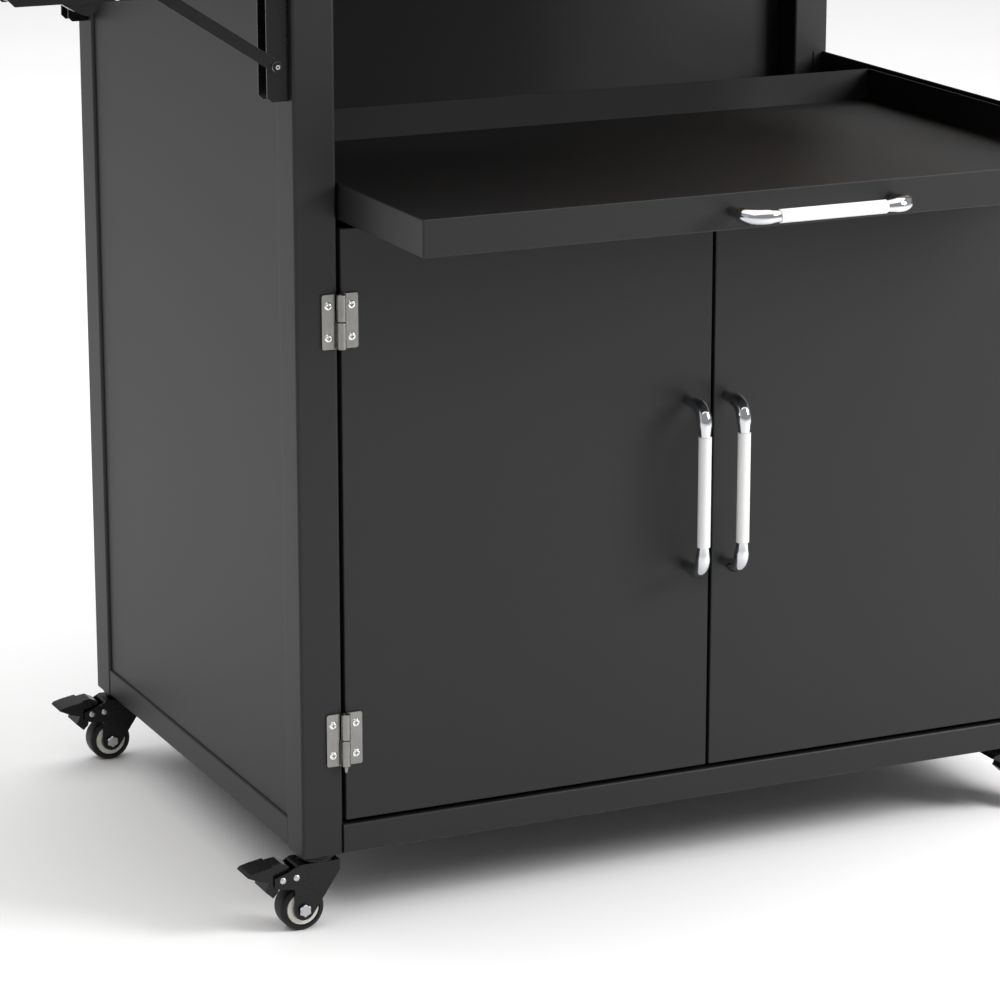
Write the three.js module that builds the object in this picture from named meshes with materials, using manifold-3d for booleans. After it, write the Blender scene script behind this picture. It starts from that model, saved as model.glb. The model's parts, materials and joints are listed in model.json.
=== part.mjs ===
// Kitchen island cart: a sheet-steel cabinet on four swivel casters, with two doors, a pull-out tray
// over them, an open bay above the tray, a worktop, and a folding leaf on two brackets at the left.
// Millimetres. While it is built, X = 0 is the left face of the left posts, Y = 0 is the front face
// of the front posts, and Z = 0 is the floor. The finished group is then moved so that the origin is
// the bottom centre of the whole object.
import * as THREE from "three";
import { mergeVertices } from "three/addons/utils/BufferGeometryUtils.js";
import Module from "manifold-3d";

const wasm = await Module();
wasm.setup();

// ---- driving dimensions -----------------------------------------------------------------------

// Overall
const WIDTH = 833; // outer faces of the left and right posts
const DEPTH = 572; // outer faces of the front and rear posts
const BASE_Z = 73; // floor to the underside of the base rails
const BODY_H = 821; // base rails' underside to the worktop's underside
const GAP = 0.3; // between pieces that touch

// Sheet and frame
const POST = 40;
const POST_WALL = 1.5;
const POST_RADIUS = 3;
const SHEET = 1.2;
const RAIL_H = 28;
const RAIL_DEEP = 20;
const RAIL_WALL = 1.5;
const RAIL_RADIUS = 2;
const RAIL_PROUD = 1; // the front rail stands this far in front of the doors
const RAIL_INSET = 0.8; // the side and back rails lie this far behind the posts' faces
const PANEL_INSET = 3;
const RIGHT_PANEL_INSET = 5;
const PANEL_FLANGE = 12;
const RIGHT_PANEL_TOP = 617; // above the base; the bay is open at the right over this edge
const FLOOR_LIP = 14; // folded edge of the cabinet floor and of the deck

// Doors and their hinges
const DOOR_BOTTOM = 32; // above the base
const DOOR_TOP = 584; // above the base
const DOOR_T = 16;
const DOOR_GAP = 1.6; // half the gap between post and door, and half the one between the doors
const HINGE_H = 50;
const HINGE_LEAF = 17.5; // from the pin's axis to the leaf's free edge
const HINGE_T = 1.5;
const KNUCKLE_R = 4.4;
const HINGE_PIN_R = 2;
const HINGE_TIP = [6, 0]; // the pin's end below the lower and the upper hinge
const HINGE_Z = [111, 501]; // hinge centres above the base

// Handles
const HANDLE_SPAN = 160; // between the centres of its two feet
const HANDLE_REACH = 35.7;
const HANDLE_R = 4.9;
const HANDLE_BEND = 15;
const SLEEVE_LENGTH = 106;
const SLEEVE_WALL = 0.9;
const DOOR_HANDLE_Z = 313; // centre above the base
const LEFT_HANDLE_X = 26; // left of the line where the doors meet
const RIGHT_HANDLE_X = 15; // right of that line

// Tray and its slides
const TRAY_BOTTOM = 591; // above the base
const TRAY_H = 33;
const TRAY_SIDE = 3; // clearance to the posts
const TRAY_DEEP = DEPTH - 23;
const TRAY_OUT = 182; // how far the tray stands drawn out
const TRAY_SHEET = 1.5;
const DECK_TOP = 574; // above the base
const SLIDE_LENGTH = DEPTH - 72;
const SLIDE_W = 24;
const SLIDE_WALL = 3;
const RUNNER_H = 5.7;
const RUNNER_SETBACK = 45; // the runner's front end behind the rail's front end when shut
const SLIDE_X = 60; // slide's centre line in from the tray's side
const RUN_CLEARANCE = 0.5;

// Worktop and leaf
const TOP_T = 25;
const TOP_OVERHANG = 10;
const LEAF_LENGTH = 263;
const LEAF_GAP = 2;
const LEAF_EDGE = 5; // how far the worktop stands out over the left posts
const TOP_RADIUS = 6;

// Folding bracket, measured from the post's left face, the front and the base. Its heights hang
// from the worktop's underside.
const CHANNEL_Y = 7.8;
const CHANNEL_W = 22.5;
const CHANNEL_DEEP = 20.4;
const CHANNEL_BOTTOM = BODY_H - 122;
const CHANNEL_CORNER = 4;
const BRACKET_T = 2;
const ARM_LENGTH = LEAF_LENGTH - 9;
const ARM_H = 24.4;
const ARM_HEEL = 5; // the arm's inner end past its pin
const ARM_PIVOT = { x: -12, z: BODY_H - 15 };
const STRUT_PIVOT = { x: -12, z: BODY_H - 91 };
const STRUT_END = { x: -127, z: BODY_H - 16 };
const STRUT_W = 11;
const RIVET_HEAD = 2.2;
const RIVET_R = 2.2;
const RIVET_HEAD_R = 4.5;
const LEVER_PIVOT = { x: -159, z: BODY_H - 19 };
const LEVER_W = 18;

// Casters
const WHEEL_R = 21.5;
const WHEEL_W = 22;
const TRAIL = 17; // axle behind the swivel axis
const FORK_T = 2;
const FORK_IN = 24.6; // between the fork's cheeks
const RACE_H = 7; // the swivel race, between the post and the fork
const FORK_TOP = BASE_Z - RACE_H;
const FORK_PLATE = 3.5;
const RACE_R = 19;
const AXLE_R = 3;
const PEDAL_W = 20; // between the fork's cheeks; its wing is as wide as the fork
const WING_X = -47.5; // the wing starts this far from the swivel axis
const PEDAL_PIVOT = { x: -38, z: FORK_TOP - 12.6 };
const FORK_RIVET = { x: -24.5, z: FORK_TOP - 11.8 };
const PEDAL_RIVET_R = 1.5;

// ---- colours ----------------------------------------------------------------------------------

const COLOURS = {
  steel_black: ["#2c2d30", 0.55, 0.35],
  bracket_black: ["#141415", 0.45, 0.4],
  nickel: ["#c9c7c2", 0.28, 1],
  chrome: ["#e4e6e8", 0.08, 1],
  zinc: ["#b4b6b8", 0.35, 1],
  white_plastic: ["#eeeeec", 0.4, 0],
  wood: ["#b98a55", 0.5, 0],
  tyre_black: ["#151515", 0.6, 0],
};

// ---- shape helpers ----------------------------------------------------------------------------

const cart = new THREE.Group();

// One closed manifold solid from a closed three.js geometry.
function solid(geometry) {
  const bare = new THREE.BufferGeometry();
  bare.setAttribute("position", geometry.getAttribute("position"));
  bare.setIndex(geometry.index);
  const merged = mergeVertices(bare, 1e-4);
  const mesh = new wasm.Mesh({
    numProp: 3,
    vertProperties: merged.attributes.position.array,
    triVerts: new Uint32Array(merged.index.array),
  });
  return new wasm.Manifold(mesh);
}

// Adds one named piece to the cart.
function piece(name, colour, shape) {
  const { vertProperties, triVerts } = shape.getMesh();
  const geometry = new THREE.BufferGeometry();
  geometry.setAttribute("position", new THREE.BufferAttribute(vertProperties, 3));
  geometry.setIndex(new THREE.BufferAttribute(triVerts, 1));
  geometry.computeVertexNormals();
  const [color, roughness, metalness] = COLOURS[colour];
  const mesh = new THREE.Mesh(
    geometry,
    new THREE.MeshStandardMaterial({ color, roughness, metalness }),
  );
  mesh.name = name;
  cart.add(mesh);
}

// A box between two values on each axis, in either order.
function box([x0, x1], [y0, y1], [z0, z1]) {
  const geometry = new THREE.BoxGeometry(
    Math.abs(x1 - x0),
    Math.abs(y1 - y0),
    Math.abs(z1 - z0),
  );
  geometry.translate((x0 + x1) / 2, (y0 + y1) / 2, (z0 + z1) / 2);
  return solid(geometry);
}

// A 2-D outline extruded along one axis: its points are (x, y) along "z", (x, z) along "y",
// and (y, z) along "x".
function prism(shape, axis, from, to) {
  const low = Math.min(from, to);
  const high = Math.max(from, to);
  const geometry = new THREE.ExtrudeGeometry(shape, {
    depth: high - low,
    bevelEnabled: false,
  });
  const turn = new THREE.Matrix4();
  const x = new THREE.Vector3(1, 0, 0);
  const y = new THREE.Vector3(0, 1, 0);
  const z = new THREE.Vector3(0, 0, 1);
  if (axis === "z") turn.makeTranslation(0, 0, low);
  if (axis === "y") turn.makeBasis(x, z, y.clone().negate()).setPosition(0, high, 0);
  if (axis === "x") turn.makeBasis(y, z, x).setPosition(low, 0, 0);
  geometry.applyMatrix4(turn);
  return solid(geometry);
}

// A closed outline through points.
function outline(points) {
  return new THREE.Shape(points.map(([u, v]) => new THREE.Vector2(u, v)));
}

// Points along an arc, both ends included.
function arc(u, v, radius, from, to, steps) {
  const points = [];
  for (let i = 0; i <= steps; i++) {
    const turn = from + ((to - from) * i) / steps;
    points.push([u + radius * Math.cos(turn), v + radius * Math.sin(turn)]);
  }
  return points;
}

// The points of a rectangle with round corners.
function roundedCorners(u0, u1, v0, v1, radius) {
  const quarter = Math.PI / 2;
  const steps = 3;
  return [
    ...arc(u1 - radius, v0 + radius, radius, -quarter, 0, steps),
    ...arc(u1 - radius, v1 - radius, radius, 0, quarter, steps),
    ...arc(u0 + radius, v1 - radius, radius, quarter, 2 * quarter, steps),
    ...arc(u0 + radius, v0 + radius, radius, 2 * quarter, 3 * quarter, steps),
  ];
}

// A square or rectangular tube, open at both ends, with round outer corners.
function tube(axis, [u0, u1], [v0, v1], radius, wall, from, to) {
  const outside = outline(roundedCorners(u0, u1, v0, v1, radius));
  const inside = outline([
    [u0 + wall, v0 + wall],
    [u1 - wall, v0 + wall],
    [u1 - wall, v1 - wall],
    [u0 + wall, v1 - wall],
  ]);
  const bore = prism(inside, axis, from - 1, to + 1);
  return prism(outside, axis, from, to).subtract(bore);
}

// A regular polygon that stands for a circle.
function circle(u, v, radius, sides) {
  const last = (2 * Math.PI * (sides - 1)) / sides;
  return outline(arc(u, v, radius, 0, last, sides - 1));
}

// A round bar along an axis through the point (u, v) of the other two axes.
function rod(axis, u, v, from, to, radius, sides = 16) {
  return prism(circle(u, v, radius, sides), axis, from, to);
}

// The outline of a bar with a half circle round each end.
function stadium(a, b, width) {
  const turn = Math.atan2(b.z - a.z, b.x - a.x);
  const half = Math.PI / 2;
  return outline([
    ...arc(b.x, b.z, width / 2, turn - half, turn + half, 6),
    ...arc(a.x, a.z, width / 2, turn + half, turn + 3 * half, 6),
  ]);
}

// ---- frame ------------------------------------------------------------------------------------

const baseTop = BASE_Z + RAIL_H;
const bodyTop = BASE_Z + BODY_H;
const leftIn = POST + GAP;
const rightIn = WIDTH - POST - GAP;
const frontIn = POST + GAP;
const rearIn = DEPTH - POST - GAP;

function post(name, x, y) {
  const section = [[x, x + POST], [y, y + POST], POST_RADIUS, POST_WALL];
  piece(name, "steel_black", tube("z", ...section, BASE_Z, bodyTop - GAP));
}

post("post_front_left", 0, 0);
post("post_front_right", WIDTH - POST, 0);
post("post_rear_left", 0, DEPTH - POST);
post("post_rear_right", WIDTH - POST, DEPTH - POST);

// A rectangular tube along X or Y at the level of the base.
function baseRail(name, axis, [face, back], from, to) {
  const low = Math.min(face, back);
  const section = [[low, low + RAIL_DEEP], [BASE_Z, baseTop], RAIL_RADIUS, RAIL_WALL];
  piece(name, "steel_black", tube(axis, ...section, from, to));
}

const frontRail = [-RAIL_PROUD, RAIL_DEEP - RAIL_PROUD];
const backRail = [DEPTH - RAIL_INSET, DEPTH - RAIL_INSET - RAIL_DEEP];
const leftRail = [RAIL_INSET, RAIL_INSET + RAIL_DEEP];
const rightRail = [WIDTH - RAIL_INSET, WIDTH - RAIL_INSET - RAIL_DEEP];
baseRail("base_rail_front", "x", frontRail, leftIn, rightIn);
baseRail("base_rail_back", "x", backRail, leftIn, rightIn);
baseRail("base_rail_left", "y", leftRail, frontIn, rearIn);
baseRail("base_rail_right", "y", rightRail, frontIn, rearIn);

// A panel of folded sheet: a web with a flange along each upright edge, turned inwards. Its section
// runs along one axis from one post to the next, and inward is the direction of its flanges.
function panel(name, axis, face, inward, from, to, top) {
  const deep = face + inward * PANEL_FLANGE;
  const web = face + inward * SHEET;
  const section = [
    [face, from],
    [face, to],
    [deep, to],
    [deep, to - SHEET],
    [web, to - SHEET],
    [web, from + SHEET],
    [deep, from + SHEET],
    [deep, from],
  ];
  const points = axis === "y" ? section : section.map(([u, v]) => [v, u]);
  piece(name, "steel_black", prism(outline(points), "z", baseTop + GAP, top));
}

const leftPanel = PANEL_INSET;
const rightPanel = WIDTH - RIGHT_PANEL_INSET;
const backPanel = DEPTH - PANEL_INSET;
panel("side_panel_left", "y", leftPanel, 1, frontIn, rearIn, bodyTop - GAP);
panel("side_panel_right", "y", rightPanel, -1, frontIn, rearIn, BASE_Z + RIGHT_PANEL_TOP);
panel("back_panel", "x", backPanel, -1, leftIn, rightIn, bodyTop - GAP);

// A level sheet with folded front and back edges, notched round the four posts.
function levelSheet(name, x, y, top) {
  const lip = top - FLOOR_LIP;
  const webs = box(x, y, [top - SHEET, top])
    .add(box(x, [y[0], y[0] + SHEET], [lip, top]))
    .add(box(x, [y[1] - SHEET, y[1]], [lip, top]));
  const corner = POST + GAP;
  const tall = [lip - 1, top + 1];
  let shape = webs;
  for (const cx of [[-1, corner], [WIDTH - corner, WIDTH + 1]]) {
    for (const cy of [[-1, corner], [DEPTH - corner, DEPTH + 1]]) {
      shape = shape.subtract(box(cx, cy, tall));
    }
  }
  piece(name, "steel_black", shape);
}

const floorX = [leftRail[1] + GAP, rightRail[1] - GAP];
const floorY = [frontRail[1] + GAP, backRail[1] - GAP];
levelSheet("cabinet_floor", floorX, floorY, baseTop);
const deckX = [leftPanel + PANEL_FLANGE + GAP, rightPanel - PANEL_FLANGE - GAP];
const deckY = [DOOR_T + 2 * GAP, backPanel - PANEL_FLANGE - GAP];
levelSheet("tray_deck", deckX, deckY, BASE_Z + DECK_TOP);

// ---- worktop ----------------------------------------------------------------------------------

const worktop = outline(
  roundedCorners(
    -LEAF_EDGE,
    WIDTH + TOP_OVERHANG,
    -TOP_OVERHANG,
    DEPTH + TOP_OVERHANG,
    TOP_RADIUS,
  ),
);
piece("worktop", "wood", prism(worktop, "z", bodyTop, bodyTop + TOP_T));

// ---- handles ----------------------------------------------------------------------------------

// A bow handle whose two feet stand on a face that looks towards -Y. Its span runs along "x" or "z".
function handle(name, along, x, face, z) {
  const half = HANDLE_SPAN / 2;
  const foot = face - GAP;
  const top = face - HANDLE_REACH;
  const at = (s, y) =>
    along === "x" ? new THREE.Vector3(x + s, y, z) : new THREE.Vector3(x, y, z + s);
  const path = new THREE.CurvePath();
  path.add(new THREE.LineCurve3(at(-half, foot), at(-half, top + HANDLE_BEND)));
  path.add(
    new THREE.QuadraticBezierCurve3(
      at(-half, top + HANDLE_BEND),
      at(-half, top),
      at(-half + HANDLE_BEND, top),
    ),
  );
  path.add(new THREE.LineCurve3(at(-half + HANDLE_BEND, top), at(half - HANDLE_BEND, top)));
  path.add(
    new THREE.QuadraticBezierCurve3(
      at(half - HANDLE_BEND, top),
      at(half, top),
      at(half, top + HANDLE_BEND),
    ),
  );
  path.add(new THREE.LineCurve3(at(half, top + HANDLE_BEND), at(half, foot)));
  const bar = new THREE.ExtrudeGeometry(circle(0, 0, HANDLE_R, 12), {
    extrudePath: path,
    steps: 30,
  });
  piece(name + "_bar", "chrome", solid(bar));

  const inner = HANDLE_R + GAP;
  const outer = inner + SLEEVE_WALL;
  const [u, v, centre] = along === "x" ? [top, z, x] : [x, top, z];
  const ends = [centre - SLEEVE_LENGTH / 2, centre + SLEEVE_LENGTH / 2];
  const sleeve = rod(along, u, v, ...ends, outer, 20);
  const bore = rod(along, u, v, ends[0] - 1, ends[1] + 1, inner, 20);
  piece(name + "_sleeve", "white_plastic", sleeve.subtract(bore));
}

// ---- doors ------------------------------------------------------------------------------------

const middle = WIDTH / 2;
const doorZ = [BASE_Z + DOOR_BOTTOM, BASE_Z + DOOR_TOP];

// A door of folded sheet, open at its back.
function door(name, x) {
  const shell = box(x, [0, DOOR_T], doorZ);
  const pocket = box(
    [x[0] + SHEET, x[1] - SHEET],
    [SHEET, DOOR_T + 1],
    [doorZ[0] + SHEET, doorZ[1] - SHEET],
  );
  piece(name, "steel_black", shell.subtract(pocket));
}

door("door_left", [POST + 2 * DOOR_GAP, middle - DOOR_GAP]);
door("door_right", [middle + DOOR_GAP, WIDTH - POST - 2 * DOOR_GAP]);
handle("handle_left", "z", middle - LEFT_HANDLE_X, 0, BASE_Z + DOOR_HANDLE_Z);
handle("handle_right", "z", middle + RIGHT_HANDLE_X, 0, BASE_Z + DOOR_HANDLE_Z);

// A lift-off hinge. Its fixed half, on the post, carries the lower knuckle and the pin; its other
// half, on the door, carries the upper knuckle. side is -1 where the post is left of the door.
function hinge(name, pinX, side, z, tip) {
  const pinY = -GAP - KNUCKLE_R;
  const plate = [-GAP - HINGE_T, -GAP];
  const low = z - HINGE_H / 2;
  const high = z + HINGE_H / 2;
  const clear = KNUCKLE_R + GAP;
  const leaf = (towards) =>
    box([pinX, pinX + towards * HINGE_LEAF], plate, [low, high]);
  const knuckle = (from, to) => rod("z", pinX, pinY, from, to, KNUCKLE_R);
  const room = (from, to) =>
    box([pinX - clear, pinX + clear], [pinY - clear, 0], [from, to]);

  const fixed = leaf(side)
    .subtract(room(z - GAP, high + 1))
    .add(knuckle(low, z - GAP))
    .add(rod("z", pinX, pinY, low - tip, high, HINGE_PIN_R, 12))
    .subtract(box([pinX, pinX - side * 2 * KNUCKLE_R], [-GAP, 1], [low - 1, high + 1]));
  const moving = leaf(-side)
    .subtract(room(low - 1, z + GAP))
    .add(knuckle(z + GAP, high))
    .subtract(rod("z", pinX, pinY, z, high + 1, HINGE_PIN_R + GAP, 12));
  piece(name + "_post_leaf", "nickel", fixed);
  piece(name + "_door_leaf", "nickel", moving);
}

const hingeX = POST + DOOR_GAP;
["lower", "upper"].forEach((level, i) => {
  hinge(`hinge_left_${level}`, hingeX, -1, BASE_Z + HINGE_Z[i], HINGE_TIP[i]);
  hinge(`hinge_right_${level}`, WIDTH - hingeX, 1, BASE_Z + HINGE_Z[i], HINGE_TIP[i]);
});

// ---- pull-out tray ----------------------------------------------------------------------------

const trayX = [POST + TRAY_SIDE, WIDTH - POST - TRAY_SIDE];
const trayY = [-TRAY_OUT, TRAY_DEEP - TRAY_OUT];
const trayZ = [BASE_Z + TRAY_BOTTOM, BASE_Z + TRAY_BOTTOM + TRAY_H];
const inside = (range) => [range[0] + TRAY_SHEET, range[1] - TRAY_SHEET];
const trayPocket = box(inside(trayX), inside(trayY), [trayZ[0] + TRAY_SHEET, trayZ[1] + 1]);
piece("tray", "steel_black", box(trayX, trayY, trayZ).subtract(trayPocket));
handle("tray_handle", "x", middle, trayY[0], (trayZ[0] + trayZ[1]) / 2);

// Each slide is a grooved rail on the deck and a runner under the tray that slides in the groove.
const runnerTop = trayZ[0] - GAP;
const grooveFloor = runnerTop - RUNNER_H - GAP;
const slideFront = DOOR_T + 2;
const centres = { left: trayX[0] + SLIDE_X, right: trayX[1] - SLIDE_X };
for (const [side, x] of Object.entries(centres)) {
  const railY = [slideFront, slideFront + SLIDE_LENGTH];
  const railX = [x - SLIDE_W / 2, x + SLIDE_W / 2];
  const groove = box(
    [railX[0] + SLIDE_WALL, railX[1] - SLIDE_WALL],
    [railY[0] - 1, railY[1] + 1],
    [grooveFloor, runnerTop + 1],
  );
  const rail = box(railX, railY, [BASE_Z + DECK_TOP + GAP, runnerTop - 2 * GAP]);
  piece(`slide_rail_${side}`, "zinc", rail.subtract(groove));
  const half = SLIDE_W / 2 - SLIDE_WALL - RUN_CLEARANCE;
  const runnerY = [railY[0] - TRAY_OUT + RUNNER_SETBACK, railY[1] - TRAY_OUT];
  const runner = box([x - half, x + half], runnerY, [runnerTop - RUNNER_H, runnerTop]);
  piece(`slide_runner_${side}`, "zinc", runner);
}

// ---- folding leaf and its brackets ------------------------------------------------------------

const leafX = [-LEAF_EDGE - LEAF_GAP, -LEAF_EDGE - LEAF_GAP - LEAF_LENGTH];
const leafY = [-TOP_OVERHANG, DEPTH + TOP_OVERHANG];
const leaf = outline(roundedCorners(leafX[1], leafX[0], ...leafY, TOP_RADIUS));
piece("leaf", "wood", prism(leaf, "z", bodyTop, bodyTop + TOP_T));

const lift = (points) => points.map(([x, z]) => [x, BASE_Z + z]);

// One bracket: a channel screwed to the post, an arm under the leaf that turns on a pin at the
// channel's top, a strut on a rivet at the channel's bottom, and a release lever inside the arm.
// place() turns a distance behind the front bracket's outer side into a Y of either bracket.
function bracket(name, place) {
  const span = (from, to) => [place(from), place(to)];
  const channelSide = CHANNEL_Y;
  const farSide = channelSide + CHANNEL_W;
  const strutSide = channelSide - GAP - BRACKET_T;
  const armSide = strutSide - GAP - RIVET_HEAD - GAP - BRACKET_T;
  const armFar = farSide + (channelSide - armSide);
  const armPin = { x: ARM_PIVOT.x, z: BASE_Z + ARM_PIVOT.z };
  const strutPin = { x: STRUT_PIVOT.x, z: BASE_Z + STRUT_PIVOT.z };
  const leverPin = { x: LEVER_PIVOT.x, z: BASE_Z + LEVER_PIVOT.z };
  const pinAt = (pin, from, to, radius) => rod("y", pin.x, pin.z, ...span(from, to), radius);

  const channelTop = BODY_H - 2 * BRACKET_T;
  const cheek = outline(
    lift([
      [-GAP, CHANNEL_BOTTOM],
      [-GAP, channelTop],
      [CHANNEL_CORNER - CHANNEL_DEEP, channelTop],
      [-CHANNEL_DEEP, channelTop - CHANNEL_CORNER],
      [-CHANNEL_DEEP, CHANNEL_BOTTOM + CHANNEL_CORNER],
      [CHANNEL_CORNER - CHANNEL_DEEP, CHANNEL_BOTTOM],
    ]),
  );
  const hollow = box(
    [-GAP - BRACKET_T, -CHANNEL_DEEP - 1],
    span(channelSide + BRACKET_T, farSide - BRACKET_T),
    [BASE_Z + CHANNEL_BOTTOM - 1, bodyTop],
  );
  const channel = prism(cheek, "y", ...span(channelSide, farSide))
    .subtract(hollow)
    .add(pinAt(armPin, armSide - BRACKET_T, armFar + BRACKET_T, RIVET_R))
    .add(pinAt(armPin, armSide - GAP - 1, armSide - GAP, RIVET_HEAD_R))
    .add(pinAt(armPin, armFar + GAP, armFar + GAP + 1, RIVET_HEAD_R))
    .add(pinAt(strutPin, strutSide - GAP, farSide, RIVET_R))
    .add(pinAt(strutPin, strutSide - GAP - RIVET_HEAD, strutSide - GAP, RIVET_HEAD_R));
  piece(`${name}_channel`, "bracket_black", channel);

  const armTop = BODY_H - GAP;
  const armBottom = armTop - ARM_H;
  const nose = 6;
  const armSideView = outline(
    lift([
      [ARM_PIVOT.x + ARM_HEEL, armBottom],
      [ARM_PIVOT.x + ARM_HEEL, armTop],
      [-ARM_LENGTH, armTop],
      [-ARM_LENGTH, armBottom + nose],
      [nose - ARM_LENGTH, armBottom],
    ]),
  );
  const armHollow = box(
    [ARM_PIVOT.x + ARM_HEEL + 1, BRACKET_T - ARM_LENGTH],
    span(armSide + BRACKET_T, armFar - BRACKET_T),
    [BASE_Z + armBottom - 1, BASE_Z + armTop - BRACKET_T],
  );
  const leverSide = (armSide + armFar - LEVER_W) / 2;
  const arm = prism(armSideView, "y", ...span(armSide, armFar))
    .subtract(armHollow)
    .subtract(pinAt(armPin, armSide - 1, armFar + 1, RIVET_R + GAP))
    .add(pinAt(leverPin, leverSide - 1, armFar + 1, RIVET_R))
    .add(pinAt(leverPin, armSide - RIVET_HEAD, armSide, RIVET_HEAD_R));
  piece(`${name}_arm`, "bracket_black", arm);

  const strut = prism(
    stadium(strutPin, { x: STRUT_END.x, z: BASE_Z + STRUT_END.z }, STRUT_W),
    "y",
    ...span(strutSide, strutSide + BRACKET_T),
  ).subtract(pinAt(strutPin, strutSide - 1, strutSide + BRACKET_T + 1, RIVET_R + GAP));
  piece(`${name}_strut`, "bracket_black", strut);

  const tab = lift([
    [LEVER_PIVOT.x + 6, LEVER_PIVOT.z + 4],
    [LEVER_PIVOT.x - 6, LEVER_PIVOT.z + 4],
    [LEVER_PIVOT.x - 41, LEVER_PIVOT.z + 1],
    [LEVER_PIVOT.x - 48, LEVER_PIVOT.z - 5],
    [LEVER_PIVOT.x - 33, LEVER_PIVOT.z - 14],
    [LEVER_PIVOT.x - 24, LEVER_PIVOT.z - 18],
    [LEVER_PIVOT.x - 19, LEVER_PIVOT.z - 18],
    [LEVER_PIVOT.x - 7, LEVER_PIVOT.z - 7],
    [LEVER_PIVOT.x + 3, LEVER_PIVOT.z - 6],
  ]);
  const lever = prism(outline(tab), "y", ...span(leverSide, leverSide + LEVER_W)).subtract(
    pinAt(leverPin, armSide, armFar, RIVET_R + GAP),
  );
  piece(`${name}_lever`, "bracket_black", lever);
}

bracket("bracket_front", (y) => y);
bracket("bracket_rear", (y) => DEPTH - y);

// ---- casters ----------------------------------------------------------------------------------

// A swivel caster under a post: a race fixed to the post, a pressed fork that turns under it, a
// wheel on an axle bolt behind the swivel axis, and a brake pedal between the fork's cheeks.
function caster(name, x, y) {
  const at = (points) => points.map(([u, v]) => [x + u, FORK_TOP + v]);
  const outside = FORK_IN / 2 + FORK_T;
  const both = (half) => [y - half, y + half];

  const race = rod("z", x, y, FORK_TOP + 2 * GAP, BASE_Z - GAP, RACE_R, 24);
  piece(`${name}_race`, "bracket_black", race);

  const axle = { x: x - TRAIL, z: WHEEL_R };
  const boss = 10;
  const cheek = outline([
    ...at([
      [18.5, -10],
      [18.5, 0],
      [-20, 0],
      [-28, -4],
      [-46, -10],
      [-46, -19],
      [-38, -21.5],
      [-26, -23],
    ]),
    ...arc(axle.x, axle.z, boss, Math.PI * 0.95, Math.PI * 1.8, 8),
  ]);
  const fork = prism(cheek, "y", ...both(outside))
    .subtract(box([x - 80, x + 80], both(FORK_IN / 2), [0, FORK_TOP - FORK_PLATE]))
    .subtract(box([x - 80, x - 24], both(FORK_IN / 2), [0, FORK_TOP + 1]))
    .add(rod("y", axle.x, axle.z, ...both(outside + 3), 5.5, 6))
    .subtract(rod("y", axle.x, axle.z, ...both(FORK_IN / 2), 5.6, 6))
    .add(rod("y", axle.x, axle.z, ...both(outside), AXLE_R))
    .add(rod("y", x + FORK_RIVET.x, FORK_RIVET.z, ...both(outside + 1), PEDAL_RIVET_R, 10))
    .add(rod("y", x + PEDAL_PIVOT.x, PEDAL_PIVOT.z, ...both(outside + 1), PEDAL_RIVET_R, 10));
  piece(`${name}_fork`, "bracket_black", fork);

  const half = WHEEL_W / 2;
  const hubRadius = 8;
  const dish = 3;
  const shoulder = 4;
  const bore = AXLE_R + GAP;
  const profile = [
    [bore, -half],
    [hubRadius, -half],
    [hubRadius + 2, dish - half],
    [WHEEL_R - 6, dish - half],
    [WHEEL_R - 5, -half],
    [WHEEL_R - 1, 1 - half],
    [WHEEL_R, shoulder - half],
    [WHEEL_R, half - shoulder],
    [WHEEL_R - 1, half - 1],
    [WHEEL_R - 5, half],
    [WHEEL_R - 6, half - dish],
    [hubRadius + 2, half - dish],
    [hubRadius, half],
    [bore, half],
    [bore, -half],
  ].map(([r, h]) => new THREE.Vector2(r, h));
  const wheel = new THREE.LatheGeometry(profile, 24);
  wheel.translate(axle.x, y, axle.z);
  piece(`${name}_wheel`, "tyre_black", solid(wheel));

  const pedalSide = outline(
    at([
      [-30, -16],
      [-30, -1],
      [-38, 3],
      [-50, 1.5],
      [-62, -0.5],
      [-70, -2.5],
      [-72.5, -5],
      [-68, -7],
      [-61, -10.5],
      [-51, -13],
      [-55, -21.5],
      [-46, -30],
      [-41, -25],
      [-40, -18],
    ]),
  );
  const wing = prism(pedalSide, "y", ...both(outside)).subtract(
    box([x + WING_X, x], both(outside + 1), [0, BASE_Z]),
  );
  const pedal = prism(pedalSide, "y", ...both(PEDAL_W / 2))
    .add(wing)
    .subtract(
      rod("y", x + PEDAL_PIVOT.x, PEDAL_PIVOT.z, ...both(PEDAL_W), PEDAL_RIVET_R + GAP, 10),
    );
  piece(`${name}_pedal`, "bracket_black", pedal);
}

const nearEdge = POST / 2;
caster("caster_front_left", nearEdge, nearEdge);
caster("caster_front_right", WIDTH - nearEdge, nearEdge);
caster("caster_rear_left", nearEdge, DEPTH - nearEdge);
caster("caster_rear_right", WIDTH - nearEdge, DEPTH - nearEdge);

// ---- origin at the bottom centre of the whole object ------------------------------------------

const extent = new THREE.Box3().setFromObject(cart);
const centre = extent.getCenter(new THREE.Vector3());
cart.position.set(-centre.x, -centre.y, -extent.min.z);

export default cart;
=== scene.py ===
import json
import math

import bmesh
import bpy
from mathutils import Matrix, Vector


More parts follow.
